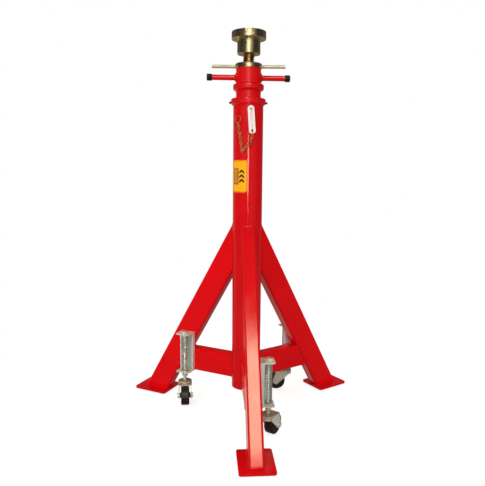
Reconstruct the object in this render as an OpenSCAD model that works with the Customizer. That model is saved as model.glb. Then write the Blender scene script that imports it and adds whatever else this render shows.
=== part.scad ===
// High-reach axle stand: a tripod with spring-loaded castors carries a telescopic column.
// A cross pin holds the column at one of a row of holes, and a screw under the saddle sets the height.
// Origin on the floor under the column's axis, +Z up, the front leg along -Y.

/* [Column] */
// Outside diameter of the outer tube
column_d = 108; // [100:1:114]
// Wall of the outer tube
column_wall = 8; // [7:0.5:8]
// Height of the outer tube's lower end above the floor
column_bottom = 83; // [60:1:100]
// Height of the outer tube's upper end above the floor
column_top = 1159; // [1150:1:1170]
// Outside diameter of the collar welded round the top of the outer tube
collar_d = 124; // [120:1:130]
// Height of the collar
collar_h = 21; // [20:1:30]
// Diameter of the two guide screws in the collar
guide_screw_d = 8; // [6:1:10]
// Distance across the outer ends of the guide screws
guide_screw_span = 137; // [132:1:150]

/* [Inner column] */
// Outside diameter of the inner tube
inner_d = 88.9; // [86:0.1:90]
// Wall of the inner tube
inner_wall = 7; // [6:0.5:8]
// Height of the inner tube's lower end when lowered
inner_bottom = 300; // [200:10:400]
// Height of the inner tube's upper end when lowered
inner_top = 1264; // [1255:1:1275]
// Outside diameter of the stop ring welded round the inner tube
stop_ring_d = 110; // [106:1:120]
// Height of the stop ring
stop_ring_h = 23; // [16:1:26]
// Height of the stop ring's underside
stop_ring_z = 1187; // [1180:1:1200]
// Diameter of the two lifting handles
handle_d = 19; // [16:1:22]
// Distance across the ends of the two lifting handles, caps included
handle_span = 298; // [240:1:340]
// Height of the lifting handles' axis
handle_z = 1232; // [1225:1:1240]
// Diameter of the caps on the lifting handles
cap_d = 24; // [23:1:28]
// Length of the caps
cap_h = 19; // [14:1:26]

/* [Locking pin] */
// Diameter of the locking pin
pin_d = 16; // [12:1:18]
// Height of the locking pin's axis
pin_z = 1118.7; // [1110:0.1:1125]
// Turn of the pin's line from the front leg's direction, in degrees
pin_turn = 4; // [-10:1:10]
// Spacing of the holes along the inner tube
hole_pitch = 50; // [40:5:60]
// Number of lift steps above the lowest hole
lift_steps = 12; // [6:1:12]
// Width of the handle plate on the pin
plate_w = 23; // [20:1:28]
// Distance from the pin to the chain hole in the handle plate
plate_reach = 74.5; // [60:0.5:90]
// Thickness of the handle plate
plate_t = 5; // [4:0.5:6]
// Diameter of the chain hole in the handle plate
plate_hole_d = 9; // [8:0.5:10]
// Tilt of the hanging handle plate, in degrees
plate_tilt = 4.2; // [-8:0.1:8]

/* [Head] */
// Outside diameter of the screw spindle
spindle_d = 40; // [36:1:44]
// Lead of the trapezoidal thread
thread_pitch = 7; // [6:1:8]
// Height of the spindle's lower end at rest
spindle_bottom = 1165; // [1162:1:1175]
// Height of the saddle hub's underside at rest
hub_bottom = 1312; // [1311:1:1320]
// Diameter of the saddle's hub
hub_d = 82; // [70:1:90]
// Height of the saddle's hub
hub_h = 50.5; // [46:0.5:60]
// Diameter of the saddle's load plate
saddle_d = 122; // [110:1:150]
// Thickness of the saddle's load plate
saddle_h = 26; // [18:1:30]
// Outside diameter of the lift nut
nut_d = 95; // [92:1:105]
// Height of the lift nut's flange above the inner tube
nut_h = 16; // [15:1:24]
// Diameter of the lift nut's two handle rods
nut_rod_d = 12; // [10:1:13]
// Distance across the ends of the lift nut's handle rods
nut_rod_span = 262; // [200:1:300]

/* [Legs] */
// Depth of the leg and brace section
section_depth = 90; // [80:1:100]
// Width of the leg and brace section
section_w = 50; // [40:1:60]
// Wall of the leg and brace section
section_wall = 4; // [3:0.5:5]
// Outside corner radius of the leg and brace section
section_r = 8; // [7:0.5:10]
// Lean of a leg from the vertical, in degrees
leg_lean = 29.7; // [28:0.1:31]
// Radius at which a leg's outer face would reach the floor
leg_foot_r = 455; // [440:1:470]
// Height of the middle of the braces
brace_z = 158; // [150:1:170]
// Radius of the centre of a foot plate
foot_r = 411; // [400:1:420]
// Radial length of a foot plate
foot_l = 144; // [130:1:160]
// Width of a foot plate across its leg
foot_w = 117; // [100:1:130]
// Thickness of a foot plate
foot_t = 8; // [6:1:12]
// Corner radius of a foot plate
foot_corner_r = 9; // [6:1:14]

/* [Castors] */
// Radius of a castor stem's axis from the column's axis
castor_r = 239; // [236:1:242]
// Sideways distance of a castor stem's axis from its leg's middle plane
castor_side = 57.5; // [56:0.5:60]
// Height of the bracket's top
bracket_top = 271; // [260:1:280]
// Height of the bracket's bottom shelf
bracket_bottom = 114.5; // [110:0.5:120]
// Width of the bracket along its leg
bracket_w = 57.5; // [52:0.5:64]
// Distance from the stem's axis to the bracket's edge nearer the column
bracket_in = 26; // [24:1:30]
// Thickness of the bracket's sheet
bracket_t = 3.5; // [3:0.5:4]
// Depth of the lips along the bracket's back plate
bracket_lip = 16; // [12:1:17]
// Overhang of the bracket's shelves beyond the stem's axis
shelf_overhang = 20.5; // [20:0.5:30]
// Diameter of a castor stem
stem_d = 12; // [10:1:14]
// Upward travel of a castor stem
stem_travel = 8; // [4:1:8]
// Outside diameter of the castor springs
spring_d = 28; // [24:1:29]
// Wire diameter of the castor springs
spring_wire = 3.4; // [2:0.1:3.8]
// Number of turns of the castor springs
spring_turns = 24; // [15:1:34]
// Height of the foot plates above the floor while the unloaded stand rolls on its castors
foot_lift = 5; // [3:0.5:7]
// Diameter of a castor wheel
wheel_d = 74; // [66:1:76]
// Width of a castor tyre
tyre_w = 32; // [24:1:34]
// Width across a castor wheel's hub
hub_w = 42; // [34:1:44]
// Distance from the swivel axis to the wheel's axle
trail = 36; // [28:1:40]
// Direction in which the front castor trails, in degrees from +X
trail_front = 54; // [-180:1:180]
// Direction in which the left castor trails, in degrees from +X
trail_left = -88; // [-180:1:180]
// Direction in which the right castor trails, in degrees from +X
trail_right = 171; // [-180:1:180]

/* [Chain] */
// Direction of the chain lug, in degrees from the front leg towards -X
lug_turn = 42; // [30:1:60]
// Height of the top of the split ring in the lug
lug_z = 1096.5; // [1085:0.5:1100]
// Mean radius of the split ring
ring_r = 12.3; // [10:0.1:14]
// Wire diameter of the rings
ring_wire = 2.8; // [2:0.1:3]
// Wire diameter of the chain links
link_wire = 2.6; // [1.4:0.1:2.8]
// Inside length of a chain link
link_inside = 9.2; // [7.6:0.1:10]
// Height of the lowest point of the chain
chain_low_z = 967; // [960:1:990]

/* [Label] */
// Width of the label round the outer tube, in degrees
label_span = 74; // [50:1:80]
// Height of the label
label_h = 116; // [90:1:130]
// Height of the label's lower edge
label_z = 826; // [800:1:850]
// Thickness of the label
label_t = 0.25; // [0.2:0.05:0.4]
// Direction of the label's left edge, in degrees from the front leg towards -X
label_turn = 80; // [74:1:90]

/* [Hidden] */
$fn = 64;

// Small gaps: between pieces that only sit together, and round a running shaft
gap = 0.2;
run = 0.08;

// Directions of the three legs about the column
front = -90;
left = 150;
right = 30;

column_r = column_d / 2;
inner_r = inner_d / 2;
section_edge = section_w / 2;
leg_middle_r = leg_foot_r - section_depth / 2 / cos(leg_lean);
guide_screw_z = column_top - 14;
slot_w = guide_screw_d + 1;
lift_travel = lift_steps * hole_pitch;
pin_hole_d = pin_d + 2 * gap;
cap_end = 4;

// Head: the nut's boss reaches into the inner tube, and a journal on the spindle holds the saddle
boss_d = inner_d - 2 * inner_wall - 1;
boss_h = 30;
journal_d = 30;
journal_h = 40;
grub_turn = -20;
grub_z = hub_bottom + 32;
grub_d = 8;
grub_l = 18;
bevel = 1.5;
nut_bevel = 3;
nut_rod_z = inner_top + 6.5;
nut_rod_turn = -4;
nut_rod_root = nut_d / 2 - 15.8;

// Pin: its plate stands clear of the outer tube
plate_back = column_r + 6;
plate_mid = plate_back + plate_t / 2;
pin_tail = column_r + 10;
rivet_d = 11;

// Castor heights, from the wheel upwards
axle_z = wheel_d / 2 - foot_lift;
axle_d = 10;
tyre_bore = wheel_d - 12;
hub_boss_d = 20;
bolt_af = 15;
fork_t = 4;
fork_gap = hub_w + 1.5;
fork_w = fork_gap + 2 * fork_t;
crown_r = 27;
crown_front = 40;
fork_back = 16.8;
fork_front = 35.2;
crown_z = wheel_d + 2 - foot_lift;
crown_top = crown_z + fork_t;
ball_d = 4;
ball_ring_r = 16;
race_z = crown_top + 0.6;
race_h = 6;
ball_z = race_z + 1;
stem_head_h = 3;
stem_foot = crown_z - gap - stem_head_h;
nut_af = 22;
nut_t = 8;
shelf_top = bracket_bottom + bracket_t;
seat_t = 3;
spring_seat = shelf_top + gap + seat_t;
spring_top = bracket_top - bracket_t - gap;

// Chain: two hanging strands between the split ring and the ring in the handle plate
ring_out = column_r + 5;
hook_r = 6.8;
hook_drop = 9;
link_pitch = link_inside - 0.4;
link_side = 4;
link_hang = 4.4;
ring_foot = [-ring_out * sin(lug_turn), -ring_out * cos(lug_turn), lug_z - 2 * ring_r];
chain_low_left = [-28, -54, chain_low_z + 7];
chain_low_right = [-21, -55, chain_low_z + 4];
plate_end = [plate_reach * sin(plate_tilt), -plate_mid, -plate_reach * cos(plate_tilt)];
hook_foot = [
    plate_end.x * cos(pin_turn) - plate_end.y * sin(pin_turn),
    plate_end.x * sin(pin_turn) + plate_end.y * cos(pin_turn),
    pin_z + plate_end.z - hook_drop - hook_r
];

// ---- Shapes used more than once ----

// A pipe standing on z0 and ending at z1
module pipe(z0, z1, outer, bore) {
    translate([0, 0, z0])
        difference() {
            cylinder(h = z1 - z0, d = outer);
            translate([0, 0, -1]) cylinder(h = z1 - z0 + 2, d = bore);
        }
}

// A disc whose outer edges are rounded
module rounded_disc(h, outer, r) {
    rotate_extrude($fn = 96) {
        translate([0, r]) square([outer / 2, h - 2 * r]);
        square([outer / 2 - r, h]);
        translate([outer / 2 - r, r]) circle(r = r);
        translate([outer / 2 - r, h - r]) circle(r = r);
    }
}

// The same disc with a bore
module rounded_ring(h, outer, bore, r) {
    difference() {
        rounded_disc(h, outer, r);
        translate([0, 0, -1]) cylinder(h = h + 2, d = bore);
    }
}

// A flat rectangle with round corners
module rounded_rect(l, w, r) {
    square([l - 2 * r, w], center = true);
    square([l, w - 2 * r], center = true);
    for (x = [-1, 1], y = [-1, 1])
        translate([x * (l / 2 - r), y * (w / 2 - r)]) circle(r = r, $fn = 32);
}

// The outline of the leg and brace section, drawn in by the wall when hollow
module section(inset) {
    rounded_rect(section_depth - 2 * inset, section_w - 2 * inset, section_r - inset);
}

// A hexagonal nut or bolt head standing on z = 0
module hex(af, h) {
    cylinder(h = h, d = af / cos(30), $fn = 6);
}

// A round wire ring in the XZ plane
module wire_ring(r, wire) {
    rotate([90, 0, 0])
        rotate_extrude($fn = 48)
            translate([r, 0]) circle(d = wire, $fn = 20);
}

// Puts children on the line of the locking pin, outwards along -Y
module on_pin_line() {
    translate([0, 0, pin_z]) rotate([0, 0, pin_turn]) children();
}

// A grub screw standing on z = 0, with its hexagon socket on top
module socket_screw(l, d) {
    difference() {
        cylinder(h = l, d = d);
        translate([0, 0, l - d / 2]) hex(d / 2, d);
    }
}

// ---- Outer column ----

module outer_tube() {
    color("red")
        difference() {
            pipe(column_bottom, column_top, column_d, column_d - 2 * column_wall);
            on_pin_line() rotate([90, 0, 0])
                cylinder(h = 2 * column_d, d = pin_hole_d, center = true);
            translate([0, 0, guide_screw_z]) rotate([0, 90, 0])
                cylinder(h = 2 * column_d, d = guide_screw_d + gap, center = true);
        }
}

module tube_collar() {
    color("red")
        difference() {
            translate([0, 0, column_top - collar_h])
                rounded_ring(collar_h, collar_d, column_d, 4);
            translate([0, 0, guide_screw_z]) rotate([0, 90, 0])
                cylinder(h = 2 * collar_d, d = guide_screw_d + gap, center = true);
        }
}

module guide_screws() {
    tip_r = inner_r - inner_wall / 2;
    color("dimgray")
        for (side = [0, 180])
            rotate([0, 0, side]) translate([tip_r, 0, guide_screw_z]) rotate([0, 90, 0])
                socket_screw(guide_screw_span / 2 - tip_r, guide_screw_d);
}

// ---- Tripod ----

// Puts children on a leg's middle line, with +Z up the leg and +X towards its outer face
module on_leg() {
    translate([leg_middle_r, 0, 0]) rotate([0, -leg_lean, 0]) children();
}

// The solid envelope of a leg, before it is trimmed
module leg_bar(inset) {
    length = (leg_foot_r - column_r) / sin(leg_lean);
    on_leg() translate([0, 0, -section_depth])
        linear_extrude(length + section_depth) section(inset);
}

module leg(direction) {
    color("red")
        rotate([0, 0, direction])
            difference() {
                leg_bar(0);
                leg_bar(section_wall);
                cylinder(h = column_top, d = column_d + gap, $fn = 96);
                translate([0, -section_w, -4 * section_depth + foot_t])
                    cube([2 * leg_foot_r, 2 * section_w, 4 * section_depth]);
            }
}

// A level bar from the column to the flat inner face of its leg
module brace(direction) {
    color("red")
        rotate([0, 0, direction])
            difference() {
                translate([0, 0, brace_z]) rotate([0, 90, 0])
                    linear_extrude(leg_foot_r)
                        difference() {
                            section(0);
                            section(section_wall);
                        }
                cylinder(h = column_top, d = column_d + gap, $fn = 96);
                on_leg() translate([-section_depth / 2, -section_w, -section_depth])
                    cube([leg_foot_r, 2 * section_w, column_top]);
            }
}

module foot_plate(direction) {
    color("red")
        rotate([0, 0, direction]) translate([foot_r, 0, 0])
            linear_extrude(foot_t) rounded_rect(foot_l, foot_w, foot_corner_r);
}

// ---- Inner column ----

module inner_tube() {
    slot_top = guide_screw_z + slot_w / 2;
    slot_bottom = guide_screw_z - lift_travel - slot_w / 2;
    color("red")
        difference() {
            pipe(inner_bottom, inner_top, inner_d, inner_d - 2 * inner_wall);
            for (step = [0 : lift_steps])
                translate([0, 0, -step * hole_pitch])
                    on_pin_line() rotate([90, 0, 0])
                        cylinder(h = 2 * inner_d, d = pin_hole_d, center = true);
            translate([-inner_d, -slot_w / 2, slot_bottom])
                cube([2 * inner_d, slot_w, slot_top - slot_bottom]);
            for (z = [slot_bottom, slot_top])
                translate([0, 0, z]) rotate([0, 90, 0])
                    cylinder(h = 2 * inner_d, d = slot_w, center = true);
        }
}

module stop_ring() {
    color("red")
        translate([0, 0, stop_ring_z]) rounded_ring(stop_ring_h, stop_ring_d, inner_d, 7);
}

// Two bars with a weld that flares towards the inner tube
module lift_handles() {
    flare = 8;
    weld_sink = 3;
    weld_l = 10;
    color("red")
        difference() {
            for (side = [0, 180])
                rotate([0, 0, side]) translate([0, 0, handle_z]) rotate([0, 90, 0]) {
                    cylinder(h = handle_span / 2 - cap_end, d = handle_d);
                    translate([0, 0, inner_r - weld_sink])
                        cylinder(h = weld_l, d1 = handle_d + 2 * flare, d2 = handle_d);
                }
            cylinder(h = 2 * inner_top, d = inner_d);
        }
}

module handle_caps() {
    color("black")
        for (side = [0, 180])
            rotate([0, 0, side]) translate([handle_span / 2, 0, handle_z]) rotate([0, -90, 0])
                difference() {
                    rounded_disc(cap_h, cap_d, 3);
                    translate([0, 0, cap_end]) cylinder(h = cap_h, d = handle_d);
                }
}

// ---- Head ----

// The thread is drawn as rings of its profile: a root, a rising flank, a crest and a falling flank
module spindle() {
    depth = thread_pitch / 2;
    crest = 0.366 * thread_pitch;
    r = spindle_d / 2;
    plain_h = 8;
    turns = floor((hub_bottom - plain_h - spindle_bottom) / thread_pitch);
    color("darkgoldenrod")
        rotate_extrude($fn = 64)
            polygon([
                [0, spindle_bottom],
                for (n = [0 : turns - 1])
                    let (z = spindle_bottom + n * thread_pitch)
                    each [
                        [r - depth, z],
                        [r - depth, z + crest],
                        [r, z + thread_pitch - crest],
                        [r, z + thread_pitch]
                    ],
                [r, hub_bottom - gap],
                [journal_d / 2, hub_bottom - gap],
                [journal_d / 2, hub_bottom + journal_h],
                [0, hub_bottom + journal_h]
            ]);
}

module saddle() {
    r = hub_d / 2;
    color("goldenrod")
        difference() {
            union() {
                translate([0, 0, hub_bottom]) cylinder(h = bevel, r1 = r - bevel, r2 = r, $fn = 96);
                translate([0, 0, hub_bottom + bevel]) cylinder(h = hub_h, r = r, $fn = 96);
                translate([0, 0, hub_bottom + hub_h]) rounded_disc(saddle_h, saddle_d, bevel);
            }
            translate([0, 0, hub_bottom - 1])
                cylinder(h = journal_h + 2, d = journal_d + gap);
            rotate([0, 0, grub_turn]) translate([0, 0, grub_z]) rotate([90, 0, 0])
                cylinder(h = saddle_d, d = grub_d + gap);
        }
}

module saddle_grub_screw() {
    color("dimgray")
        rotate([0, 0, grub_turn]) translate([0, -journal_d / 2 - gap, grub_z]) rotate([90, 0, 0])
            socket_screw(grub_l, grub_d);
}

// A flange that rests on the inner tube, a boss that centres it, and two holes for the handle rods
module lift_nut() {
    bevel_z = nut_h - nut_bevel;
    color("goldenrod")
        difference() {
            union() {
                translate([0, 0, inner_top + gap]) {
                    cylinder(h = bevel_z, d = nut_d, $fn = 96);
                    translate([0, 0, bevel_z])
                        cylinder(h = nut_bevel, d1 = nut_d, d2 = nut_d - 2 * nut_bevel, $fn = 96);
                }
                translate([0, 0, inner_top - boss_h]) cylinder(h = boss_h + 1, d = boss_d);
            }
            cylinder(h = 2 * inner_top, d = spindle_d + 2 * run);
            for (side = [0, 180])
                on_nut_rod(side) translate([0, 0, -gap]) cylinder(h = nut_d, d = nut_rod_d);
        }
}

// Puts children at the root of a handle rod, outwards along +Z
module on_nut_rod(side) {
    rotate([0, 0, side + nut_rod_turn]) translate([nut_rod_root, 0, nut_rod_z]) rotate([0, 90, 0])
        children();
}

module nut_handles() {
    length = nut_rod_span / 2 - nut_rod_root;
    d = nut_rod_d - gap;
    color("goldenrod")
        for (side = [0, 180])
            on_nut_rod(side) {
                cylinder(h = length - bevel, d = d);
                translate([0, 0, length - bevel]) cylinder(h = bevel, d1 = d, d2 = d - 2 * bevel);
            }
}

// ---- Locking pin ----

// A pin with a tapered tip, and a rivet that holds its plate
module locking_pin() {
    tip = 4;
    tip_d = 10;
    color("silver")
        on_pin_line() rotate([90, 0, 0]) {
            translate([0, 0, -pin_tail]) cylinder(h = tip, d1 = tip_d, d2 = pin_d);
            translate([0, 0, tip - pin_tail]) cylinder(h = pin_tail - tip + plate_back, d = pin_d);
            cylinder(h = plate_back + plate_t + 1, d = rivet_d);
        }
}

module pin_plate() {
    color("whitesmoke")
        on_pin_line() translate([0, -plate_back, 0]) rotate([90, 0, 0])
            rotate([0, 0, plate_tilt]) linear_extrude(plate_t)
                difference() {
                    union() {
                        circle(d = plate_w);
                        translate([0, -plate_reach]) circle(d = plate_w);
                        translate([-plate_w / 2, -plate_reach]) square([plate_w, plate_reach]);
                    }
                    circle(d = rivet_d);
                    translate([0, -plate_reach]) circle(d = plate_hole_d);
                }
}

module chain_hook() {
    color("peru")
        on_pin_line() translate([plate_end.x, plate_end.y, plate_end.z - hook_drop])
            rotate([0, 0, 90]) wire_ring(hook_r, ring_wire);
}

// ---- Chain ----

// A tab with one round corner, welded edge-on to the outer tube and drilled for the split ring
module chain_lug() {
    tab_w = 4;
    tab_out = 9;
    tab_h = 17;
    tab_r = tab_out / 2;
    below_hole = 5;
    sink = 2;
    color("red")
        rotate([0, 0, -lug_turn])
            difference() {
                translate([-tab_w / 2, -column_r - tab_out, lug_z - below_hole]) {
                    cube([tab_w, tab_out + sink, tab_h - tab_r]);
                    translate([0, tab_r, tab_h - tab_r]) rotate([0, 90, 0])
                        cylinder(h = tab_w, r = tab_r);
                    translate([0, tab_r, 0]) cube([tab_w, tab_r + sink, tab_h]);
                }
                cylinder(h = column_top, d = column_d);
                translate([0, -ring_out, lug_z]) rotate([0, 90, 0])
                    cylinder(h = 3 * tab_w, d = ring_wire + 1, center = true);
            }
}

module split_ring() {
    color("peru")
        rotate([0, 0, -lug_turn]) translate([0, -ring_out, lug_z - ring_r])
            wire_ring(ring_r, ring_wire);
}

// One link along Z: two straight sides and two half rings
module link() {
    half = (link_inside + link_wire) / 2 - link_side;
    for (side = [-1, 1]) {
        translate([side * link_side, 0, -half]) cylinder(h = 2 * half, d = link_wire, $fn = 16);
        translate([0, 0, side * half]) rotate([side * 90, 0, 0])
            rotate_extrude(angle = 180, $fn = 24)
                translate([link_side, 0]) circle(d = link_wire, $fn = 16);
    }
}

// Links from one point to another, each turned a quarter from the one before
module strand(from, to) {
    links = ceil(norm(to - from) / link_pitch);
    step = (to - from) / links;
    for (n = [0 : links - 1])
        translate(from + (n + 0.5) * step)
            rotate([0, acos(step.z / norm(step)), atan2(step.y, step.x)])
                rotate([0, 0, 45 + 90 * n]) link();
}

module chain() {
    color("peru") {
        strand(ring_foot - [0, 0, link_hang], chain_low_left);
        strand(chain_low_right, hook_foot - [0, 0, link_hang]);
    }
}

module label() {
    color("gold")
        translate([0, 0, label_z]) rotate([0, 0, front - label_turn])
            rotate_extrude(angle = label_span, $fn = 96)
                translate([column_r, 0]) square([label_t, label_h]);
}

// ---- Castors ----

// Puts children on a castor's stem axis beside the leg that points in the given direction
module at_castor(direction) {
    rotate([0, 0, direction]) translate([castor_r, castor_side, 0]) children();
}

// As at_castor, and turned so that +X is the way that the wheel trails
module at_swivel(direction, trailing) {
    at_castor(direction) rotate([0, 0, trailing - direction]) children();
}

module castor_bracket(direction) {
    back = section_edge - castor_side + run;
    reach = shelf_overhang - back;
    clip = 6;
    color("lightgray")
        at_castor(direction)
            difference() {
                translate([-bracket_in, back, 0]) {
                    translate([0, 0, bracket_bottom])
                        cube([bracket_w, bracket_t, bracket_top - bracket_bottom]);
                    for (x = [0, bracket_w - bracket_t])
                        translate([x, 0, bracket_bottom])
                            cube([bracket_t, bracket_lip, bracket_top - bracket_bottom]);
                    for (z = [bracket_bottom, bracket_top - bracket_t])
                        translate([0, 0, z]) linear_extrude(bracket_t)
                            polygon([
                                [0, 0],
                                [bracket_w, 0],
                                [bracket_w, reach - clip],
                                [bracket_w - clip, reach],
                                [clip, reach],
                                [0, reach - clip]
                            ]);
                }
                cylinder(h = 2 * bracket_top, d = stem_d + 2 * run);
            }
}

module castor_stem(direction) {
    stem_top = bracket_top + nut_t + 2;
    color("lightgray")
        at_castor(direction) {
            translate([0, 0, stem_foot]) cylinder(h = stem_head_h, d = 1.5 * stem_d);
            translate([0, 0, stem_foot]) cylinder(h = stem_top - stem_foot - bevel, d = stem_d);
            translate([0, 0, stem_top - bevel])
                cylinder(h = bevel, d1 = stem_d, d2 = stem_d - 2 * bevel);
        }
}

// The nut over the bracket, the nut that stops the upward travel, and the spring's seat
module castor_nuts(direction) {
    color("lightgray")
        at_castor(direction)
            difference() {
                union() {
                    translate([0, 0, bracket_top + gap]) hex(nut_af, nut_t);
                    translate([0, 0, bracket_bottom - stem_travel - gap - nut_t]) hex(nut_af, nut_t);
                    translate([0, 0, shelf_top + gap]) cylinder(h = seat_t, d = spring_d + 2);
                }
                cylinder(h = 2 * bracket_top, d = stem_d);
            }
}

// Turns of wire stacked along a thin sleeve that joins them
module castor_spring(direction) {
    sleeve_t = 0.8;
    mean_r = (spring_d - spring_wire) / 2;
    lead = (spring_top - spring_seat - spring_wire) / (spring_turns - 1);
    color("silver")
        at_castor(direction)
            rotate_extrude($fn = 48) {
                for (n = [0 : spring_turns - 1])
                    translate([mean_r, spring_seat + spring_wire / 2 + n * lead])
                        circle(d = spring_wire, $fn = 20);
                translate([mean_r - sleeve_t / 2, spring_seat + spring_wire / 2])
                    square([sleeve_t, spring_top - spring_seat - spring_wire]);
            }
}

// The fixed half of the swivel bearing, under the stem
module castor_race(direction) {
    r = crown_r - 1;
    top_r = 15.5;
    color("khaki")
        at_castor(direction)
            difference() {
                translate([0, 0, race_z]) {
                    cylinder(h = race_h / 2, r = r);
                    translate([0, 0, race_h / 2]) cylinder(h = race_h / 2, r1 = r, r2 = top_r);
                }
                ball_track();
                translate([0, 0, race_z - 1]) cylinder(h = race_h + 2, d = stem_d);
            }
}

// The groove that the balls run in
module ball_track() {
    translate([0, 0, ball_z])
        rotate_extrude() translate([ball_ring_r, 0]) circle(d = ball_d + 2 * run);
}

module castor_balls(direction) {
    balls = 12;
    color("silver")
        at_castor(direction)
            for (n = [0 : balls - 1])
                rotate([0, 0, n * 360 / balls]) translate([ball_ring_r, 0, ball_z - run / 2])
                    sphere(d = ball_d, $fn = 24);
}

// The outline of one side of the pressed fork, from the crown down to the boss round the axle
module fork_side() {
    boss_r = 13;
    flange = 6;
    hull() {
        translate([trail, axle_z]) circle(r = boss_r, $fn = 32);
        translate([-fork_back, crown_z - flange])
            square([fork_back + fork_front, flange + fork_t]);
    }
}

// The crown's rim, turned down round the side away from the wheel
module fork_skirt() {
    drop = 8;
    difference() {
        translate([0, 0, crown_z - drop]) cylinder(h = drop + fork_t, r = crown_r);
        translate([0, 0, crown_z - drop - 1]) cylinder(h = drop + 1, r = crown_r - fork_t);
        translate([0, -2 * crown_r, crown_z - drop - 1]) cube(4 * crown_r);
    }
}

module castor_fork(direction, trailing) {
    color("lightgray")
        at_swivel(direction, trailing)
            difference() {
                union() {
                    translate([0, 0, crown_z]) cylinder(h = fork_t, r = crown_r);
                    translate([0, -fork_w / 2, crown_z]) cube([crown_front, fork_w, fork_t]);
                    fork_skirt();
                    for (y = [fork_gap / 2, -fork_gap / 2 - fork_t])
                        translate([0, y + fork_t, 0]) rotate([90, 0, 0])
                            linear_extrude(fork_t) fork_side();
                }
                translate([trail, 0, axle_z]) rotate([90, 0, 0])
                    cylinder(h = 2 * fork_w, d = axle_d, center = true);
                translate([0, 0, crown_z - 1]) cylinder(h = fork_t + 2, d = stem_d + 2 * run);
                ball_track();
            }
}

// Puts children at the middle of a castor's axle, with +Z along the axle
module at_axle(direction, trailing) {
    at_swivel(direction, trailing) translate([trail, 0, axle_z]) rotate([90, 0, 0]) children();
}

module castor_axle(direction, trailing) {
    head = 6;
    color("silver")
        at_axle(direction, trailing) {
            cylinder(h = fork_w, d = axle_d, center = true);
            for (side = [0, 180])
                rotate([side, 0, 0]) translate([0, 0, fork_w / 2]) hex(bolt_af, head);
        }
}

module castor_hub(direction, trailing) {
    disc_w = tyre_w - 4;
    color("dimgray")
        at_axle(direction, trailing)
            difference() {
                union() {
                    cylinder(h = hub_w, d = hub_boss_d, center = true);
                    cylinder(h = disc_w, d = tyre_bore, center = true);
                }
                cylinder(h = 2 * hub_w, d = axle_d + 2 * run, center = true);
            }
}

module castor_tyre(direction, trailing) {
    shoulder_r = 5;
    color("black")
        at_axle(direction, trailing)
            translate([0, 0, -tyre_w / 2]) rounded_ring(tyre_w, wheel_d, tyre_bore, shoulder_r);
}

outer_tube();
tube_collar();
guide_screws();
leg(front);  // leg_front
leg(left);  // leg_left
leg(right);  // leg_right
brace(front);  // brace_front
brace(left);  // brace_left
brace(right);  // brace_right
foot_plate(front);  // foot_plate_front
foot_plate(left);  // foot_plate_left
foot_plate(right);  // foot_plate_right
chain_lug();
label();
castor_bracket(front);  // castor_bracket_front
castor_bracket(left);  // castor_bracket_left
castor_bracket(right);  // castor_bracket_right
inner_tube();
stop_ring();
lift_handles();
handle_caps();
spindle();
saddle();
saddle_grub_screw();
lift_nut();
nut_handles();
locking_pin();
pin_plate();
chain_hook();
split_ring();
chain();
castor_stem(front);  // castor_stem_front
castor_stem(left);  // castor_stem_left
castor_stem(right);  // castor_stem_right
castor_nuts(front);  // castor_nuts_front
castor_nuts(left);  // castor_nuts_left
castor_nuts(right);  // castor_nuts_right
castor_spring(front);  // castor_spring_front
castor_spring(left);  // castor_spring_left
castor_spring(right);  // castor_spring_right
castor_race(front);  // castor_race_front
castor_race(left);  // castor_race_left
castor_race(right);  // castor_race_right
castor_balls(front);  // castor_balls_front
castor_balls(left);  // castor_balls_left
castor_balls(right);  // castor_balls_right
castor_fork(front, trail_front);  // castor_fork_front
castor_fork(left, trail_left);  // castor_fork_left
castor_fork(right, trail_right);  // castor_fork_right
castor_axle(front, trail_front);  // castor_axle_front
castor_axle(left, trail_left);  // castor_axle_left
castor_axle(right, trail_right);  // castor_axle_right
castor_hub(front, trail_front);  // castor_hub_front
castor_hub(left, trail_left);  // castor_hub_left
castor_hub(right, trail_right);  // castor_hub_right
castor_tyre(front, trail_front);  // castor_tyre_front
castor_tyre(left, trail_left);  // castor_tyre_left
castor_tyre(right, trail_right);  // castor_tyre_right
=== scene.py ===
import math
import random

import bmesh
import bpy
import numpy as np
from mathutils import Matrix, Vector


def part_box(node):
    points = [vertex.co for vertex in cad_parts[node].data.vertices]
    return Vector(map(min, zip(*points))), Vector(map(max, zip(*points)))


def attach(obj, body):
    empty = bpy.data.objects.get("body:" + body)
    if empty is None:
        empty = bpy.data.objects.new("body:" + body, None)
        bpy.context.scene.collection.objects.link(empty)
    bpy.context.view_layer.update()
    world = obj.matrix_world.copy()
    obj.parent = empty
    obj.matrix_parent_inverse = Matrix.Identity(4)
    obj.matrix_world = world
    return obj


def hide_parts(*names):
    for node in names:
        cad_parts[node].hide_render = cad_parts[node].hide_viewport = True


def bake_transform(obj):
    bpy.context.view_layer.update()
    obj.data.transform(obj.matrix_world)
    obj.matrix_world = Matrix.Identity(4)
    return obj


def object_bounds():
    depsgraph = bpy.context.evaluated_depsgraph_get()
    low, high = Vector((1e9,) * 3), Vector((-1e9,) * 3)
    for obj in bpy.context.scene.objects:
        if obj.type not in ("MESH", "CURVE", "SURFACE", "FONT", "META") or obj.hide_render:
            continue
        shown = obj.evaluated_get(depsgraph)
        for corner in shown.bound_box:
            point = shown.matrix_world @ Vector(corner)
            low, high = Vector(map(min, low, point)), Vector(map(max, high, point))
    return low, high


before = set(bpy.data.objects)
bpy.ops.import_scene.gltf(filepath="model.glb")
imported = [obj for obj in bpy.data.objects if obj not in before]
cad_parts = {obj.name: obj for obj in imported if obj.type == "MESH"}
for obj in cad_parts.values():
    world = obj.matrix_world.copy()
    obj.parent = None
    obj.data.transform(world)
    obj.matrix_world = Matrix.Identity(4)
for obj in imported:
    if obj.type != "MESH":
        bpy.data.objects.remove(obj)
cad_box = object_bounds()

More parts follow.
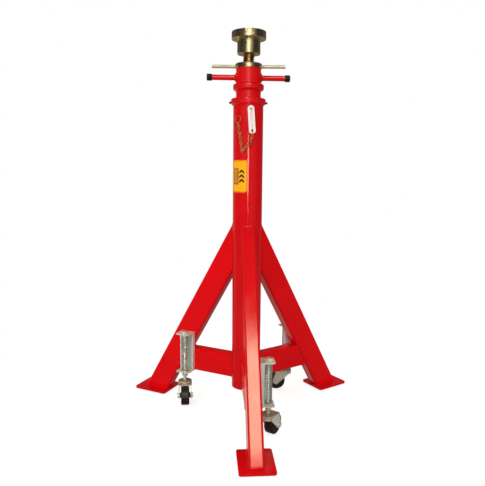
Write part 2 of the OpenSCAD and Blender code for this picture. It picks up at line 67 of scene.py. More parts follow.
# A high-reach axle stand: a red tripod on spring-loaded castors, a telescopic column with a locking pin,
# and a screwed saddle. Lengths are metres, in the part's own frame: +Z up, the front leg along -Y.

MM = 0.001
UP = (0, 0, 1)

# Each leg's direction in degrees from +X
LEGS = {"front": -90.0, "left": 150.0, "right": 30.0}

# Leg and brace section, and the line of the legs
LEAN = math.radians(29.7)
SECTION_DEPTH = 90 * MM
SECTION_W = 50 * MM
SECTION_R = 8 * MM
LEG_FOOT_R = 455 * MM


def span(node, axis):
    """Lowest and highest value of a CAD node along one axis."""
    low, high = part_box(node)
    return low[axis], high[axis]


def middle(node):
    """Centre of a CAD node's box."""
    low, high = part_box(node)
    return (Vector(low) + Vector(high)) / 2


def each(*parts):
    """The names of these parts on all three legs."""
    return [part + "_" + leg for part in parts for leg in LEGS]


# Places read from the frame
COLUMN_R = span("outer_tube", 0)[1]
COLLAR_BOTTOM = span("tube_collar", 2)[0]
INNER_R = span("inner_tube", 0)[1]
STOP_BOTTOM = span("stop_ring", 2)[0]
FOOT_T = span("foot_plate_front", 2)[1]
BRACE_Z = middle("brace_front").z
LEG_MIDDLE_R = LEG_FOOT_R - SECTION_DEPTH / 2 / math.cos(LEAN)


# ---------------------------------------------------------------- mesh building

def tube(points, radius, up, sides, closed=True):
    """Vertices and faces of a round bar along a path. The radius is one number, or one per point."""
    points = np.array(points, float)
    count = len(points)
    radii = np.broadcast_to(np.asarray(radius, float), (count,))
    if closed:
        tangents = np.roll(points, -1, 0) - np.roll(points, 1, 0)
    else:
        tangents = np.gradient(points, axis=0)
    tangents /= np.linalg.norm(tangents, axis=1)[:, None]
    ups = np.broadcast_to(np.asarray(up, float), (count, 3))
    sideways = np.cross(ups, tangents)
    sideways /= np.linalg.norm(sideways, axis=1)[:, None]
    across = np.cross(tangents, sideways)
    angles = np.arange(sides) * 2 * math.pi / sides
    ring = np.cos(angles)[None, :, None] * sideways[:, None] + np.sin(angles)[None, :, None] * across[:, None]
    vertices = points[:, None] + radii[:, None, None] * ring
    vertices = [tuple(v) for v in vertices.reshape(-1, 3)]
    faces = []
    for i in range(count if closed else count - 1):
        a, b = i * sides, (i + 1) % count * sides
        for j in range(sides):
            k = (j + 1) % sides
            faces.append((a + j, a + k, b + k, b + j))
    if not closed:
        faces.append(tuple(range(sides))[::-1])
        faces.append(tuple(range((count - 1) * sides, count * sides)))
    return vertices, faces


def lathe(outline, sides):
    """Vertices and faces of a closed outline of (radius, height) points turned about Z."""
    count = len(outline)
    vertices = []
    for i in range(sides):
        angle = i * 2 * math.pi / sides
        vertices += [(r * math.cos(angle), r * math.sin(angle), z) for r, z in outline]
    faces = []
    for i in range(sides):
        a, b = i * count, (i + 1) % sides * count
        for j in range(count):
            k = (j + 1) % count
            faces.append((a + j, b + j, b + k, a + k))
    return vertices, faces


def ring_path(radius, z, steps):
    """A level circle about the column's axis."""
    return [(radius * math.cos(a), radius * math.sin(a), z)
            for a in np.linspace(0, 2 * math.pi, steps, endpoint=False)]


def joined(shapes):
    """Several shapes as one."""
    vertices, faces = [], []
    for more_vertices, more_faces in shapes:
        base = len(vertices)
        vertices += more_vertices
        faces += [tuple(base + i for i in face) for face in more_faces]
    return vertices, faces


def placed(shape, matrix):
    """A shape moved by a matrix."""
    vertices, faces = shape
    return [tuple(matrix @ Vector(v)) for v in vertices], faces


def added(name, data):
    """A new object in the scene, from a mesh, a light or a camera."""
    obj = bpy.data.objects.new(name, data)
    bpy.context.collection.objects.link(obj)
    return obj


def mesh_of(name, shape, material):
    """A mesh from a shape, in one material."""
    mesh = bpy.data.meshes.new(name)
    vertices, faces = shape
    mesh.from_pydata(vertices, [], faces)
    mesh.validate()
    mesh.materials.append(material)
    return mesh


def piece(name, shape, material, body=None):
    """A new visible piece. It rides on a body, if one is given."""
    obj = added(name, mesh_of(name, shape, material))
    obj.data.shade_smooth()
    if body:
        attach(obj, body)
    return obj


# ---------------------------------------------------------------- shader nodes

class Shading:
    """A shader node tree, with a short way to make each kind of node that this script uses."""

    def __init__(self, tree):
        self.tree = tree

    def node(self, kind, inputs=None, **settings):
        """A new node; each input is a value or another node's socket."""
        made = self.tree.nodes.new("ShaderNode" + kind)
        for key, value in settings.items():
            setattr(made, key, value)
        for key, value in (inputs or {}).items():
            self.feed(made.inputs[key], value)
        return made

    def feed(self, socket, value):
        """Links a socket into an input, or sets the input's value."""
        if isinstance(value, bpy.types.NodeSocket):
            self.tree.links.new(value, socket)
        elif socket.type == "RGBA":
            socket.default_value = (*value[:3], 1.0)
        else:
            socket.default_value = value

    def calc(self, operation, a, b=0.0):
        """One sum, such as ADD or SINE."""
        return self.node("Math", {0: a, 1: b}, operation=operation).outputs[0]

    def times(self, a, b):
        """The product of two values, or the overlap of two masks."""
        return self.calc("MULTIPLY", a, b)

    def ramp(self, value, low, high, out_low=0.0, out_high=1.0):
        """A smooth step of value from low to high, between two outputs."""
        return self.node("MapRange", {
            "Value": value, "From Min": low, "From Max": high,
            "To Min": out_low, "To Max": out_high}, interpolation_type="SMOOTHSTEP").outputs[0]

    def window(self, value, low, high, soft):
        """1 where value lies from low to high, and 0 outside, with soft edges."""
        return self.times(self.ramp(value, low - soft, low + soft),
                          self.ramp(value, high - soft, high + soft, 1.0, 0.0))

    def within(self, value, centre, half):
        """1 where value lies within half of centre on either side, with hard edges."""
        return self.calc("LESS_THAN", self.calc("ABSOLUTE", self.calc("SUBTRACT", value, centre)), half)

    def mix(self, share, a, b, blend="MIX"):
        """Colour a turning into colour b as share goes from 0 to 1, or a plus b with the ADD blend."""
        made = self.node("Mix", data_type="RGBA", blend_type=blend)
        factor, first, second = made.inputs[0], made.inputs[6], made.inputs[7]
        self.feed(factor, share)
        self.feed(first, a)
        self.feed(second, b)
        return made.outputs[2]

    def axes(self, vector):
        """The x, y and z of a vector."""
        made = self.node("SeparateXYZ", {0: vector})
        return made.outputs[0], made.outputs[1], made.outputs[2]

    def distance(self, x, y):
        """The length of a flat vector."""
        return self.calc("SQRT", self.calc("ADD", self.times(x, x), self.times(y, y)))


class Finish(Shading):
    """One procedural material: a Principled shader with a small node tree feeding it."""

    def __init__(self, name, **inputs):
        self.material = bpy.data.materials.new(name)
        self.material.use_nodes = True
        super().__init__(self.material.node_tree)
        self.shader = self.tree.nodes["Principled BSDF"]
        self.where = self.node("TexCoord").outputs["Object"]
        self.set(**inputs)

    def set(self, **inputs):
        """Feeds the shader: base_color is its Base Color, and so on."""
        for key, value in inputs.items():
            self.feed(self.shader.inputs[key.replace("_", " ").title().replace("Ior", "IOR")], value)

    def noise(self, size, detail, roughness=0.5):
        """Noise from 0 to 1 whose blobs are about size metres."""
        return self.node("TexNoise", {
            "Vector": self.where, "Scale": 1 / size, "Detail": detail, "Roughness": roughness}).outputs[0]

    def uneven(self, roughness, spread, blobs):
        """A roughness that drifts by a share either way, over blobs of this size."""
        size, detail = blobs
        self.set(roughness=self.ramp(self.noise(size, detail), 0.3, 0.7,
                                     roughness * (1 - spread), roughness * (1 + spread)))

    def bump(self, *layers):
        """Bump from (height socket, distance) layers, coarse first."""
        normal = None
        for height, distance in layers:
            inputs = {"Height": height, "Distance": distance, "Strength": 1.0}
            if normal:
                inputs["Normal"] = normal
            normal = self.node("Bump", inputs).outputs[0]
        self.set(normal=normal)


# ---------------------------------------------------------------- materials

def red_paint(name, peel=1.0, gloss=0.45, red=1.0):
    """Glossy machine enamel: a fine orange peel, a slow drift of shade, and a few chipped specks.
    Peel, gloss and red scale its ripples, its reflections and its strength of colour."""
    f = Finish(name, specular_ior_level=gloss)
    drift = f.ramp(f.noise(160 * MM, 3), 0.35, 0.65)
    color = f.mix(drift, (0.65 * red, 0.0015, 0.0045), (0.69 * red, 0.0025, 0.0065))
    cell = f.node("TexVoronoi", {"Vector": f.where, "Scale": 1 / (20 * MM)}, feature="F1")
    near = f.calc("LESS_THAN", cell.outputs["Distance"], 0.035)
    rare = f.calc("GREATER_THAN", f.node("SeparateColor", {0: cell.outputs["Color"]}).outputs[0], 0.93)
    primer = (0.45, 0.30, 0.27)
    f.set(base_color=f.mix(f.times(near, rare), color, primer))
    f.set(roughness=f.ramp(f.noise(50 * MM, 2), 0.3, 0.7, 0.11, 0.16))
    f.bump((f.noise(30 * MM, 1), 0.14 * MM * peel), (f.noise(2.8 * MM, 1), 0.01 * MM * peel))
    return f.material


def plated(name, color, tint_a, tint_b, roughness, metallic=1.0, specular=0.5, turned=None, shade_and_grime=None):
    """A plated steel: patches of two tints over its colour, on a faintly uneven surface. A turned pitch gives
    it lathe marks, and a colour for the level faces darkens them in patches: partly a film of oily dirt,
    partly painted shade."""
    f = Finish(name, metallic=metallic, specular_ior_level=specular)
    patches = f.ramp(f.noise(18 * MM, 4, 0.6), 0.4, 0.65)
    streaks = f.ramp(f.noise(7 * MM, 3, 0.6), 0.5, 0.75)
    shade = f.mix(streaks, f.mix(patches, color, tint_a), tint_b)
    # Level faces take a patchy darker tint: partly oily dirt, partly painted shade on the tops.
    if shade_and_grime:
        normal_z = f.axes(f.node("NewGeometry").outputs["Normal"])[2]
        level = f.ramp(normal_z, 0.55, 0.9)
        patchy = f.ramp(f.noise(20 * MM, 3), 0.2, 0.6, 0.75, 1.0)
        shade = f.mix(f.times(level, patchy), shade, shade_and_grime)
    f.set(base_color=shade)
    f.uneven(roughness, 0.1, (9 * MM, 3))
    layers = [(f.noise(3 * MM, 2), 0.006 * MM)]
    if turned:
        x, y, z = f.axes(f.where)
        groove = f.calc("SINE", f.times(f.calc("ADD", f.distance(x, y), z), 2 * math.pi / turned))
        layers.append((groove, 0.0012 * MM))
    f.bump(*layers)
    return f.material


def rubber(name, color, roughness, grain):
    """Moulded rubber or plastic: near black, with a fine grain and dust that lightens it in patches."""
    f = Finish(name, specular_ior_level=0.3)
    dust = f.ramp(f.noise(16 * MM, 3, 0.55), 0.45, 0.8, 0.0, 0.22)
    dusty = tuple(c * 1.9 + 0.01 for c in color)
    f.set(base_color=f.mix(dust, color, dusty))
    f.uneven(roughness, 0.15, (6 * MM, 2))
    f.bump((f.noise(grain, 2), 0.02 * MM))
    return f.material


# The side legs and braces take a lighter red than the column, as painted light that brightens them, and a
# duller gloss; the thin bars have less peel
RED = red_paint("red_paint")
RED_BAR = red_paint("red_paint_bar", peel=0.15)
RED_LEG_LIT = red_paint("red_paint_leg_lit", gloss=0.28, red=1.17)

GOLD = plated("yellow_zinc", (0.82, 0.68, 0.40), (0.78, 0.67, 0.39), (0.84, 0.65, 0.41), 0.25,
              turned=0.8 * MM)
ROD_GOLD = plated("rod_zinc", (0.62, 0.57, 0.40), (0.60, 0.56, 0.39), (0.64, 0.57, 0.39), 0.45, metallic=0.55)
SPINDLE = plated("spindle_steel", (0.55, 0.34, 0.15), (0.48, 0.30, 0.13), (0.62, 0.39, 0.18), 0.26)
# The castor zinc, bracket and race darken on their level faces: oily dirt and painted shade.
ZINC = plated("castor_zinc", (0.74, 0.77, 0.68), (0.66, 0.67, 0.55), (0.82, 0.86, 0.80), 0.46,
              metallic=0.3, shade_and_grime=(0.32, 0.30, 0.18))
BRACKET = plated("bracket_zinc", (0.88, 0.96, 0.93), (0.84, 0.86, 0.74), (0.82, 0.98, 1.0), 0.42,
                 metallic=0.3, shade_and_grime=(0.74, 0.72, 0.56))
SPRING = plated("spring_steel", (0.70, 0.74, 0.70), (0.64, 0.69, 0.64), (0.76, 0.80, 0.78), 0.22,
                metallic=0.7)
# The race is lighter than the castor zinc: a painted highlight on its front lip.
RACE_HIGHLIT = plated("race_zinc", (0.90, 0.92, 0.86), (0.82, 0.84, 0.74), (0.95, 0.97, 0.93), 0.30,
              metallic=0.5, shade_and_grime=(0.36, 0.34, 0.21))
# The pin plate is a matte near-white: a painted reflection standing in for the bright sheen of its zinc.
PLATE_SHEEN = plated("bright_zinc", (1.0, 0.90, 0.84), (0.98, 0.89, 0.83), (1.0, 0.93, 0.88), 0.50,
               metallic=0.0, specular=0.15)
PIN_STEEL = plated("pin_steel", (0.62, 0.62, 0.60), (0.58, 0.58, 0.56), (0.66, 0.66, 0.64), 0.34,
                   metallic=0.6)
BRASS = plated("chain_brass", (0.64, 0.17, 0.065), (0.52, 0.13, 0.05), (0.74, 0.25, 0.11), 0.42,
               metallic=0.35)
BLACK_STEEL = plated("black_steel", (0.060, 0.050, 0.048), (0.045, 0.040, 0.038), (0.08, 0.07, 0.06), 0.42)

CAP = rubber("black_plastic", (0.010, 0.008, 0.008), 0.60, grain=2.2 * MM)
TYRE = rubber("tyre_rubber", (0.022, 0.012, 0.011), 0.42, grain=2.6 * MM)
WHEEL = rubber("wheel_plastic", (0.024, 0.015, 0.015), 0.34, grain=2.2 * MM)

NODE_FINISH = {
    RED: ["outer_tube", "tube_collar", "inner_tube", "stop_ring", "chain_lug", "leg_front"]
         + each("foot_plate"),
    RED_LEG_LIT: ["leg_left", "leg_right"] + each("brace"),
    RED_BAR: ["lift_handles"],
    GOLD: ["saddle", "lift_nut"],
    ROD_GOLD: ["nut_handles"],
    BLACK_STEEL: ["guide_screws", "saddle_grub_screw"],
    CAP: ["handle_caps"],
    PIN_STEEL: ["locking_pin"],
    PLATE_SHEEN: ["pin_plate"],
    BRASS: ["chain_hook", "split_ring"],
    BRACKET: each("castor_bracket"),
    ZINC: each("castor_stem", "castor_nuts", "castor_fork", "castor_axle", "castor_balls"),
    RACE_HIGHLIT: each("castor_race"),
    WHEEL: each("castor_hub"),
    TYRE: each("castor_tyre"),
}

# How wide the rounding of each node's edges is
BEVELS = {
    0.8 * MM: each("foot_plate", "leg") + ["outer_tube"],
    0.6 * MM: each("castor_bracket", "castor_fork", "castor_nuts", "castor_axle"),
    0.7 * MM: ["pin_plate", "chain_lug", "locking_pin"],
    2.4 * MM: ["handle_caps"],
}


def paint(node, finish):
    """Gives a CAD node its material."""
    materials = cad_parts[node].data.materials
    materials.clear()
    materials.append(finish)


def soften(node, width):
    """Rounds a CAD node's edges with modifiers: its mesh stays as it is."""
    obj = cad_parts[node]
    weld = obj.modifiers.new("weld", "WELD")
    weld.merge_threshold = 0.01 * MM
    bevel = obj.modifiers.new("bevel", "BEVEL")
    bevel.width = width
    bevel.segments = 2
    bevel.limit_method = "ANGLE"
    bevel.angle_limit = math.radians(35)
    obj.modifiers.new("normals", "WEIGHTED_NORMAL").keep_sharp = True


# ---------------------------------------------------------------- welds

def even(points, step, closed=True):
    """The points of a path, spaced evenly about step apart."""
    points = np.array(points, float)
    if closed:
        points = np.vstack([points, points[:1]])
    lengths = np.concatenate([[0], np.cumsum(np.linalg.norm(np.diff(points, axis=0), axis=1))])
    fewest = 8
    count = max(fewest, int(round(lengths[-1] / step)))
    at = np.linspace(0, lengths[-1], count + 1)
    if closed:
        at = at[:-1]
    return np.stack([np.interp(at, lengths, points[:, k]) for k in range(3)], axis=1)


def bead(path, radius, up, seed):
    """A weld bead along a closed seam, with the ripples of its passes."""
    step = 1.1 * MM
    ripple = 4.4 * MM
    points = even(path, step)
    count = len(points)
    waves = max(1, round(count * step / ripple))
    rng = random.Random(seed)
    lumps = np.interp(np.arange(count) * waves / count, np.arange(waves + 1),
                      [rng.uniform(-1, 1) for _ in range(waves)] + [0])
    phase = np.arange(count) * waves / count % 1
    swell = np.sqrt(phase * (2 - phase))
    radii = radius * (0.93 + 0.10 * swell + 0.05 * lumps)
    return tube(points, radii, up, 10)


def section_outline():
    """The leg section's outline as (depth, width) points, with round corners and its long sides cut up."""
    steps = 8
    longest = 3 * MM
    points = []
    for quarter, (x, y) in enumerate([(1, 1), (-1, 1), (-1, -1), (1, -1)]):
        for k in range(steps + 1):
            angle = (quarter + k / steps) * math.pi / 2
            points.append((x * (SECTION_DEPTH / 2 - SECTION_R) + SECTION_R * math.cos(angle),
                           y * (SECTION_W / 2 - SECTION_R) + SECTION_R * math.sin(angle), 0.0))
    return [(x, y) for x, y, _ in even(points, longest)]


def leg_point(u, v, t):
    """A point of a leg that points along +X: u outwards, v sideways, t up the leg."""
    return (LEG_MIDDLE_R + u * math.cos(LEAN) - t * math.sin(LEAN), v,
            u * math.sin(LEAN) + t * math.cos(LEAN))


def tripod_welds():
    """The seams of each leg: at the column, at the foot plate, and at both ends of the brace."""
    at_column, at_foot, brace_in, brace_out = [], [], [], []
    inner = -SECTION_DEPTH / 2
    for u, v in section_outline():
        reach = math.sqrt(COLUMN_R ** 2 - v ** 2)
        z = BRACE_Z + u
        at_column.append(leg_point(u, v, (LEG_MIDDLE_R + u * math.cos(LEAN) - reach) / math.sin(LEAN)))
        at_foot.append(leg_point(u, v, (FOOT_T - u * math.sin(LEAN)) / math.cos(LEAN)))
        brace_in.append((reach, v, z))
        brace_out.append(leg_point(inner, v, (z - inner * math.sin(LEAN)) / math.cos(LEAN)))
    up_leg = (-math.sin(LEAN), 0, math.cos(LEAN))
    outwards = (1, 0, 0)
    seams = [(at_column, up_leg, 2.2 * MM), (at_foot, UP, 2.4 * MM),
             (brace_in, outwards, 2.0 * MM), (brace_out, outwards, 2.0 * MM)]
    for number, (leg, direction) in enumerate(LEGS.items()):
        turn = Matrix.Rotation(math.radians(direction), 4, "Z")
        shapes = [placed(bead(path, radius, up, seed=10 * number + k), turn)
                  for k, (path, up, radius) in enumerate(seams)]
        piece("welds_" + leg, joined(shapes), RED, "stand_frame")


def column_welds():
    """The bead under the collar, and the bead below the stop ring."""
    lap = 0.5 * MM
    steps = 120
    collar = bead(ring_path(COLUMN_R + lap, COLLAR_BOTTOM, steps), 3.0 * MM, UP, seed=41)
    piece("weld_collar", collar, RED, "stand_frame")
    stop = bead(ring_path(INNER_R + lap, STOP_BOTTOM, steps), 2.4 * MM, UP, seed=42)
    piece("weld_stop_ring", stop, RED, "inner_column")


def handle_welds():
    """The bead round the root of each lifting handle, where its flare meets the inner tube."""
    low, high = span("lift_handles", 2)
    z = (low + high) / 2
    root = (high - low) / 2
    steps = 48
    shapes = []
    for side in (1, -1):
        path = []
        for a in np.linspace(0, 2 * math.pi, steps, endpoint=False):
            y = root * math.cos(a)
            path.append((side * math.sqrt(INNER_R ** 2 - y ** 2), y, z + root * math.sin(a)))
        shapes.append(bead(path, 2.2 * MM, (1, 0, 0), seed=50 + side))
    piece("weld_handles", joined(shapes), RED, "inner_column")


# ---------------------------------------------------------------- screw, springs and chain

def helix(root_r, crest_r, lead, start, turns, steps):
    """Vertices and faces of a trapezoidal thread's surface, open at both ends."""
    flat = 0.366 * lead
    axial = [0.0, flat, lead / 2, lead / 2 + flat]
    radial = [root_r, root_r, crest_r, crest_r]
    total = steps * turns
    vertices, faces = [], []
    for k in range(total + 1):
        angle = 2 * math.pi * k / steps
        for dz, r in zip(axial, radial):
            vertices.append((r * math.cos(angle), r * math.sin(angle), start + lead * k / steps + dz))
    for k in range(total):
        a, b = 4 * k, 4 * (k + 1)
        for j in range(3):
            faces.append((a + j, b + j, b + j + 1, a + j + 1))
        turn_above = 4 * (k + steps)
        if k + steps < total:
            faces.append((a + 3, b + 3, turn_above + 4, turn_above))
    return vertices, faces


def screw():
    """The spindle with its trapezoidal thread as a true helix, and a plain shoulder under the saddle."""
    low, high = span("spindle", 2)
    crest_r = span("spindle", 0)[1]
    lead = 7 * MM
    root_r = crest_r - lead / 2
    journal, journal_r = 40 * MM, 15 * MM
    shoulder = 8 * MM
    bore_r = 2 * MM
    bevel = 1 * MM
    lap = 0.5 * MM
    steps = 60
    neck = high - journal
    top = neck - shoulder
    turns = int((top - low) / lead) - 1
    start = top - (turns + 1) * lead + lap
    thread = helix(root_r, crest_r, lead, start, turns, steps)
    pilot = lathe([(bore_r, low), (root_r, low), (crest_r, low + bevel), (crest_r, start + lead),
                   (bore_r, start + lead)], steps)
    collar = lathe([(bore_r, top - bevel), (crest_r - 2 * bevel, top - bevel), (crest_r, top + bevel),
                    (crest_r, neck), (journal_r, neck), (journal_r, high), (bore_r, high)], steps)
    obj = piece("spindle_screw", joined([thread, pilot, collar]), SPINDLE, "screw_spindle")
    close_holes(obj.data)
    obj.data.shade_smooth()
    obj.data.set_sharp_from_angle(angle=math.radians(30))
    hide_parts("spindle")


def close_holes(mesh):
    """Caps any open edge loops, so that the mesh is closed."""
    bm = bmesh.new()
    bm.from_mesh(mesh)
    open_edges = [e for e in bm.edges if e.is_boundary]
    bmesh.ops.holes_fill(bm, edges=open_edges, sides=0)
    bmesh.ops.recalc_face_normals(bm, faces=bm.faces)
    bm.to_mesh(mesh)
    bm.free()


def coil_spring(leg):
    """A castor's compression spring as a real coil, squeezed between its bracket and its stem's seat."""
    node = "castor_spring_" + leg
    wire_r = 2.0 * MM
    turns = 24
    steps = 20
    low, high = span(node, 2)
    left, right = span(node, 0)
    axis = middle(node)
    coil_r = (right - left) / 2 - wire_r
    share = np.linspace(0, 1, turns * steps + 1)
    flat_end = 0.5 / turns
    rise = np.clip((share - flat_end) / (1 - 2 * flat_end), 0, 1)
    angle = 2 * math.pi * turns * share
    points = np.stack([axis.x + coil_r * np.cos(angle), axis.y + coil_r * np.sin(angle),
                       low + wire_r + (high - low - 2 * wire_r) * rise], axis=1)
    coil = piece("spring_coil_" + leg, tube(points, wire_r, UP, 8, closed=False), SPRING)
    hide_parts(node)
    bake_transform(coil)


def link_path(length, width):
    """A chain link's centre line in the XZ plane, long way up."""
    steps = 8
    straight = (length - width) / 2
    points = []
    for end, rise in enumerate((straight, -straight)):
        for k in range(steps + 1):
            a = math.pi * (end + k / steps)
            points.append((width / 2 * math.cos(a), 0.0, rise + width / 2 * math.sin(a)))
    return points


def chain_line():
    """The hanging chain's centre line, from the split ring down to its lowest point and up to the pin's hook.
    Where it would cut into the column, it is pushed out to lie on it."""
    ring = middle("split_ring")
    hook = middle("chain_hook")
    lie_r = COLUMN_R + 4.5 * MM
    low_z = span("chain", 2)[0] + 4 * MM

    def on_column(x, z):
        return Vector((x, -math.sqrt(lie_r ** 2 - x ** 2), z))

    top = Vector((ring.x, ring.y, span("split_ring", 2)[0]))
    low = on_column(-26 * MM, low_z)
    knee = on_column(-3 * MM, low_z + 25 * MM)
    end = Vector((hook.x, hook.y, span("chain_hook", 2)[0]))
    steps = 12
    points = []
    for a, b, sag in ((top, low, (2, 0, 0)), (low, knee, (0, 0, -1)), (knee, end, (2, 0, -2))):
        for k in range(steps):
            s = k / steps
            p = a.lerp(b, s) + Vector(sag) * MM * 4 * s * (1 - s)
            flat = math.hypot(p.x, p.y)
            if flat < lie_r:
                p.x *= lie_r / flat
                p.y *= lie_r / flat
            points.append(p)
    points.append(end)
    return points


def hanging_chain():
    """Twisted links, each turned against the one before, that bend from the frame to the pin."""
    pitch = 9.4 * MM
    link_w = 8.2 * MM
    wire_r = 1.8 * MM
    turned = math.radians(42)
    link = tube(link_path(pitch + 2 * wire_r, link_w), wire_r, (0, 1, 0), 8)
    per_link = 8
    half = per_link // 2
    line = even([tuple(p) for p in chain_line()], pitch / per_link, closed=False)
    length = np.linalg.norm(np.diff(line, axis=0), axis=1).sum()
    points = even(line, length / (round(length / pitch) * per_link), closed=False)
    shapes = []
    for number, k in enumerate(range(half, len(points) - half + 1, per_link)):
        here = Vector(points[k])
        along = (Vector(points[k + half]) - Vector(points[k - half])).normalized()
        outward = Vector((here.x, here.y, 0)).normalized()
        side = along.cross(outward).normalized()
        bearing = Matrix((side, side.cross(along), along)).transposed().to_4x4()
        twist = Matrix.Rotation(turned if number % 2 else -turned, 4, "Z")
        shapes.append(placed(link, Matrix.Translation(here) @ bearing @ twist))
    chain = piece("link_chain", joined(shapes), BRASS)
    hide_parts("chain")
    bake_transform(chain)


# ---------------------------------------------------------------- label

def label_film():
    """Yellow vinyl with an orange border, three chevrons, and a column mark on a plain panel. There is no
    lettering on it. Places are shares of the label's width (u) and height (v)."""
    f = Finish("label_film", roughness=0.35, specular_ior_level=0.15)
    u, v, _ = f.axes(f.node("TexCoord").outputs["UV"])

    def block(u_middle, u_half, v_middle, v_half):
        return f.times(f.within(u, u_middle, u_half), f.within(v, v_middle, v_half))

    border, yellow, panel = (0.90, 0.24, 0.010), (0.98, 0.46, 0.006), (0.42, 0.15, 0.035)
    black, mark, worn = (0.030, 0.014, 0.010), (0.86, 0.36, 0.02), (0.80, 0.62, 0.40)
    color = f.mix(block(0.5, 0.455, 0.5, 0.455), border, yellow)
    panel_u = 0.34
    color = f.mix(block(panel_u, 0.19, 0.50, 0.25), color, panel)
    chevron_u = 0.70
    bend = f.times(f.calc("ABSOLUTE", f.calc("SUBTRACT", u, chevron_u)), 0.5)
    for v_middle in (0.40, 0.54, 0.68):
        stripe = f.within(f.calc("ADD", v, bend), v_middle, 0.035)
        color = f.mix(f.times(stripe, f.within(u, chevron_u, 0.14)), color, black)
    column, foot, head = (0.035, 0.52, 0.17), (0.12, 0.345, 0.02), (0.08, 0.68, 0.018)
    for bar in (column, foot, head):
        color = f.mix(block(panel_u, *bar), color, mark)
    wear = f.ramp(f.noise(6 * MM, 3), 0.62, 0.85, 0.0, 0.25)
    f.set(base_color=f.mix(wear, color, worn))
    f.bump((f.noise(12 * MM, 2), 0.03 * MM))
    return f.material


def corner_inset(edge, corner):
    """How far a round corner cuts in, this far from the sheet's side edge."""
    if edge >= corner:
        return 0.0
    return corner - math.sqrt(corner ** 2 - (corner - edge) ** 2)


def label():
    """A curved film with round corners that lies on the outer tube."""
    (x0, y0, z0), (x1, y1, z1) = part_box("label")
    thickness = 0.2 * MM
    low_corner, top_corner = 12 * MM, 3 * MM
    r = COLUMN_R + thickness + 0.05 * MM
    start = math.atan2(y1, x0)
    turn = (math.atan2(y0, x1) - start) % (2 * math.pi)
    columns, rows = 48, 24
    vertices, faces, uvs = [], [], []
    for i in range(columns + 1):
        s = i / columns
        angle = start + turn * s
        edge = min(s, 1 - s) * r * turn
        bottom = z0 + corner_inset(edge, low_corner)
        top = z1 - corner_inset(edge, top_corner)
        for j in range(rows + 1):
            z = bottom + (top - bottom) * j / rows
            vertices.append((r * math.cos(angle), r * math.sin(angle), z))
            uvs.append((s, (z - z0) / (z1 - z0)))
    for i in range(columns):
        for j in range(rows):
            a = i * (rows + 1) + j
            faces.append((a, a + rows + 1, a + rows + 2, a + 1))
    film = piece("label_sheet", (vertices, faces), label_film(), "stand_frame")
    layer = film.data.uv_layers.new(name="UVMap")
    for loop in film.data.loops:
        layer.data[loop.index].uv = uvs[loop.vertex_index]
    thick = film.modifiers.new("thickness", "SOLIDIFY")
    thick.thickness = thickness
    thick.offset = -1
    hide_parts("label")


# ---------------------------------------------------------------- stage

# The studio's soft boxes, which only reflections see: azimuth from -Y towards +X and elevation, in degrees,
# the softness of each one's edges, and the colour with its brightness
SOFT_BOXES = {
    "upper_box": ((-29, 17), (29, 41), (3, 0.8), (11.5, 13.5, 9.5)),
    "lower_box": ((-26, 15), (6, 28), (3, 1.5), (1.0, 1.0, 1.1)),
    "strip": ((-5, 0), (7, 11), (1, 1), (4.0, 3.4, 2.0)),
    "flash": ((-6.3, 2.7), (-2.3, 2.3), (1, 1.1), (23.0, 19.5, 14.0)),
    "left_wall": ((-66, -34), (-60, 60), (5, 8), (0.035, 0.035, 0.03)),
    "left_back": ((-180, -104), (-60, 6), (6, 6), (0.15, 0.14, 0.11)),
    "rim": ((-180, -140), (-60, 6), (6, 6), (0.42, 0.36, 0.30)),
    "behind_left": ((-180, -100), (8, 60), (6, 6), (0.05, 0.05, 0.05)),
    "behind_right": ((100, 180), (8, 60), (6, 6), (0.05, 0.05, 0.05)),
    "right_edge": ((17, 38), (-20, 40), (5, 5), (0.22, 0.20, 0.15)),
    "right_back": ((120, 180), (-60, 6), (12, 6), (0.09, 0.08, 0.07)),
    "floor_glow": ((-181, 181), (-91, -9), (1, 4), (0.11, 0.10, 0.09)),
    "everywhere": ((-181, 181), (-91, 91), (1, 1), (0.03, 0.026, 0.022)),
}
WHITE = (1.0, 1.0, 1.0)
FILL_COLOR = (1.0, 0.98, 0.96)
FILL_POWER = 0.74


def floor():
    """A wide pale floor that fades into the white background."""
    f = Finish("floor", roughness=0.9, specular_ior_level=0.0)
    x, y, _ = f.axes(f.where)
    far = f.ramp(f.distance(x, y), 0.6, 1.3)
    speckle = f.ramp(f.noise(400 * MM, 2), 0.3, 0.7, 0.40, 0.42)
    f.set(base_color=f.node("CombineColor", {0: speckle, 1: speckle, 2: speckle}).outputs[0])
    seen = f.node("LightPath").outputs["Is Camera Ray"]
    f.set(emission_color=WHITE, emission_strength=f.times(seen, 0.78))
    glow = f.node("Emission", {"Color": WHITE, "Strength": f.ramp(seen, 0, 1, 0.4, 1.0)}).outputs[0]
    blend = f.node("MixShader", {0: far, 1: f.shader.outputs[0], 2: glow}).outputs[0]
    f.feed(f.tree.nodes["Material Output"].inputs["Surface"], blend)
    radius = 12.0
    wheel_gap = 0.4 * MM
    steps = 96
    disc = ring_path(radius, cad_box[0][2] - wheel_gap, steps), [tuple(range(steps))]
    obj = added("floor", mesh_of("floor", disc, f.material))
    obj.visible_glossy = False


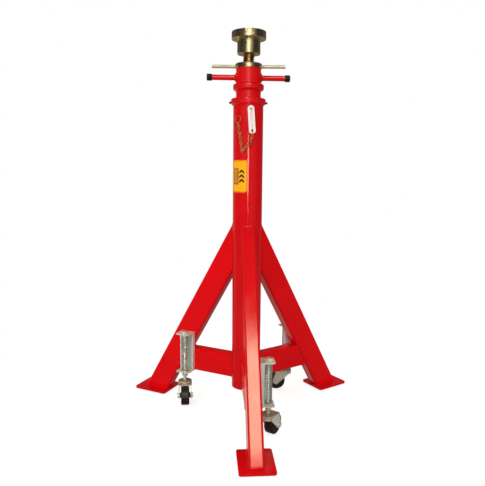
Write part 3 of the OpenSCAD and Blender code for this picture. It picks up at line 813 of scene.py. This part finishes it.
def studio_world():
    """White behind the object, an even fill on it, and soft boxes that only its reflections see."""
    world = bpy.data.worlds.new("studio")
    bpy.context.scene.world = world
    world.use_nodes = True
    world.node_tree.nodes.clear()
    f = Shading(world.node_tree)
    x, y, z = f.axes(f.node("TexCoord").outputs["Generated"])
    degrees = 180 / math.pi
    azimuth = f.times(f.calc("ARCTAN2", x, f.times(y, -1.0)), degrees)
    elevation = f.times(f.calc("ARCSINE", z), degrees)
    total = (0, 0, 0)
    for across, height, (soft_across, soft_height), color in SOFT_BOXES.values():
        mask = f.times(f.window(azimuth, *across, soft_across), f.window(elevation, *height, soft_height))
        total = f.mix(1.0, total, f.mix(mask, (0, 0, 0), color), blend="ADD")

    def background(color, power):
        return f.node("Background", {"Color": color, "Strength": power}).outputs[0]

    ray = f.node("LightPath")
    boxes, fill, white = background(total, 1.0), background(FILL_COLOR, FILL_POWER), background(WHITE, 1.0)
    lighting = f.node("MixShader", {0: ray.outputs["Is Glossy Ray"], 1: fill, 2: boxes}).outputs[0]
    seen = f.node("MixShader", {0: ray.outputs["Is Camera Ray"], 1: lighting, 2: white}).outputs[0]
    f.node("OutputWorld", {"Surface": seen})


def area_light(name, azimuth, elevation, distance, width, height, power, color=WHITE):
    """A soft box that lights the object but shows in no reflection; the world draws those."""
    data = bpy.data.lights.new(name, "AREA")
    data.shape = "RECTANGLE"
    data.size = width
    data.size_y = height
    data.energy = power
    data.color = color
    light = added(name, data)
    a, e = math.radians(azimuth), math.radians(elevation)
    aim = Vector((0, 0, 0.6))
    away = Vector((math.sin(a) * math.cos(e), -math.cos(a) * math.cos(e), math.sin(e)))
    turn = (-away).to_track_quat("-Z", "Y").to_matrix().to_4x4()
    light.matrix_world = Matrix.Translation(aim + distance * away) @ turn
    light.visible_glossy = False
    light.visible_camera = False


def camera():
    """The camera stands in front, a little to the left, at chest height, and looks slightly down."""
    azimuth = math.radians(-4.73)
    away = 1.9589
    height = 0.9157
    pitch = math.radians(8.09)
    yaw = math.radians(0.49)
    roll = math.radians(0.47)
    place = Vector((away * math.sin(azimuth), -away * math.cos(azimuth), height))
    turn = azimuth + yaw
    level = Vector((-math.sin(turn), math.cos(turn), 0))
    level_right = Vector((math.cos(turn), math.sin(turn), 0))
    forward = level * math.cos(pitch) - Vector(UP) * math.sin(pitch)
    level_up = level * math.sin(pitch) + Vector(UP) * math.cos(pitch)
    right = level_right * math.cos(roll) + level_up * math.sin(roll)
    up = level_up * math.cos(roll) - level_right * math.sin(roll)
    data = bpy.data.cameras.new("camera")
    data.sensor_fit = "VERTICAL"
    data.sensor_height = 36
    data.lens = 39.35
    obj = added("camera", data)
    obj.matrix_world = Matrix.Translation(place) @ Matrix((right, up, -forward)).transposed().to_4x4()
    bpy.context.scene.camera = obj


# ---------------------------------------------------------------- build

for finish, names in NODE_FINISH.items():
    for name in names:
        paint(name, finish)
for width, names in BEVELS.items():
    for name in names:
        soften(name, width)

tripod_welds()
column_welds()
handle_welds()
screw()
for leg in LEGS:
    coil_spring(leg)
hanging_chain()
label()

floor()
studio_world()
area_light("key", azimuth=-38, elevation=16, distance=3.2, width=2.2, height=1.6, power=45,
           color=(1.0, 0.98, 0.95))
area_light("fill_right", azimuth=48, elevation=10, distance=3.0, width=1.5, height=1.5, power=14)
camera()
bpy.context.scene.view_settings.view_transform = "Standard"
